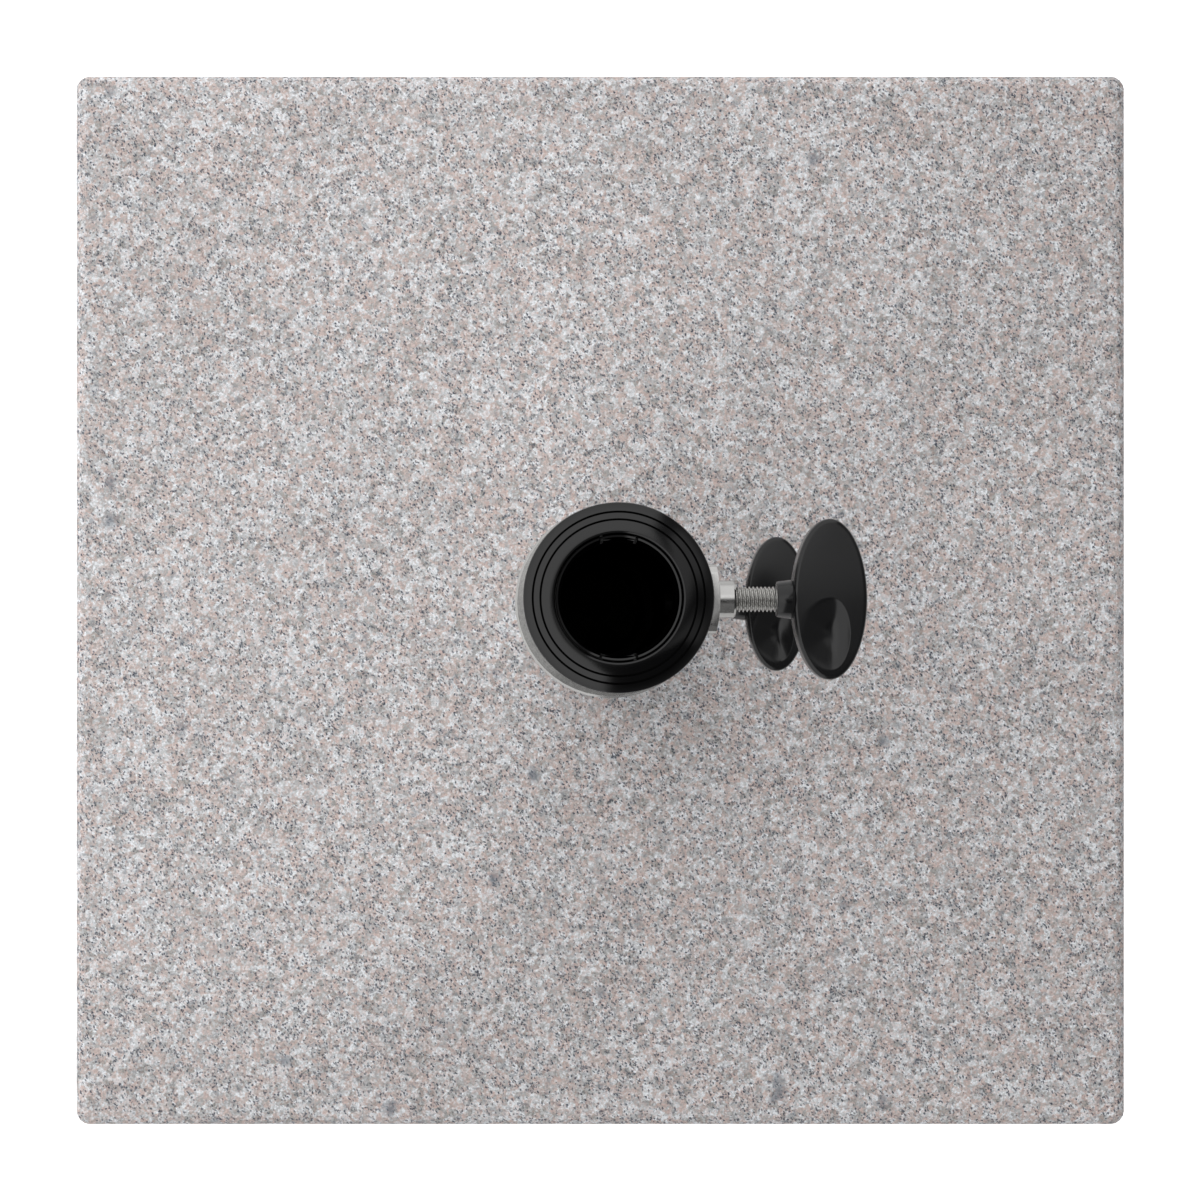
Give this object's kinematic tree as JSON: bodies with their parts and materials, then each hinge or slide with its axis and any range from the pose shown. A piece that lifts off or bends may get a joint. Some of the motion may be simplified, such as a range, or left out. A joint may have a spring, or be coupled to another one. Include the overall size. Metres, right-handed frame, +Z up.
{
  "type": "parasol base",
  "caption": "Square granite parasol base with a stainless standpipe, plastic pole guides and two clamp screws that grip the pole.",
  "frame": {"origin": "On the floor, under the middle of the slab. The standpipe's axis is 4 mm from it towards -Y.", "axes": "+Z is up along the standpipe, +X runs from the standpipe out along both clamp screws"},
  "size_m": [0.5, 0.5, 0.402],
  "materials": {
    "granite": "polished, fine grained, pinkish grey",
    "stainless": "brushed",
    "zinc_steel": "zinc plated",
    "anchor_brass": "plain",
    "black_plastic": "satin",
    "nylon": "matt",
    "rubber": "matt"
  },
  "bodies": {
    "base": {"granite_slab": "granite", "rubber_foot_1": "rubber", "rubber_foot_2": "rubber", "rubber_foot_3": "rubber", "rubber_foot_4": "rubber", "foot_plate": "zinc_steel", "plate_bolt_1": "zinc_steel", "plate_bolt_2": "zinc_steel", "plate_bolt_3": "zinc_steel", "plate_bolt_4": "zinc_steel", "plate_washer_1": "zinc_steel", "plate_washer_2": "zinc_steel", "plate_washer_3": "zinc_steel", "plate_washer_4": "zinc_steel", "granite_anchor_1": "anchor_brass", "granite_anchor_2": "anchor_brass", "granite_anchor_3": "anchor_brass", "granite_anchor_4": "anchor_brass", "standpipe": "stainless", "pole_socket": "nylon", "stiffening_sleeve": "stainless", "sleeve_ring": "stainless", "cover_ring": "black_plastic", "top_cap": "black_plastic", "upper_saddle": "stainless", "upper_boss": "stainless", "lower_boss": "stainless"},
    "reducer": {"reducer_sleeve": "black_plastic"},
    "upper_tip": {"upper_pad": "nylon"},
    "upper_screw": {"upper_rod": "stainless", "upper_knob": "black_plastic"},
    "lower_tip": {"lower_pad": "nylon"},
    "lower_screw": {"lower_rod": "stainless", "lower_knob": "black_plastic"}
  },
  "joints": [
    {"name": "upper_clamp_travel", "type": "slide", "parent": "base", "child": "upper_tip", "axis": [1, 0, 0], "range_m": [-0.01219, 0.00406]},
    {"name": "upper_clamp_turn", "type": "hinge", "parent": "upper_tip", "child": "upper_screw", "pos_m": [0.05, -0.004, 0.368], "axis": [1, 0, 0], "range_deg": [-3511, 1171]},
    {"name": "lower_clamp_travel", "type": "slide", "parent": "base", "child": "lower_tip", "axis": [1, 0, 0], "range_m": [-0.00781, 0.00719]},
    {"name": "lower_clamp_turn", "type": "hinge", "parent": "lower_tip", "child": "lower_screw", "pos_m": [0.05, -0.004, 0.248], "axis": [1, 0, 0], "range_deg": [-2251, 2071]},
    {"name": "reducer_lift", "type": "slide", "parent": "base", "child": "reducer", "axis": [0, 0, 1], "range_m": [0, 0.06]}
  ],
  "couplings": [
    {"joint": "upper_clamp_turn", "follows": "upper_clamp_travel", "rad_per_m": 5026.5},
    {"joint": "lower_clamp_turn", "follows": "lower_clamp_travel", "rad_per_m": 5026.5}
  ]
}
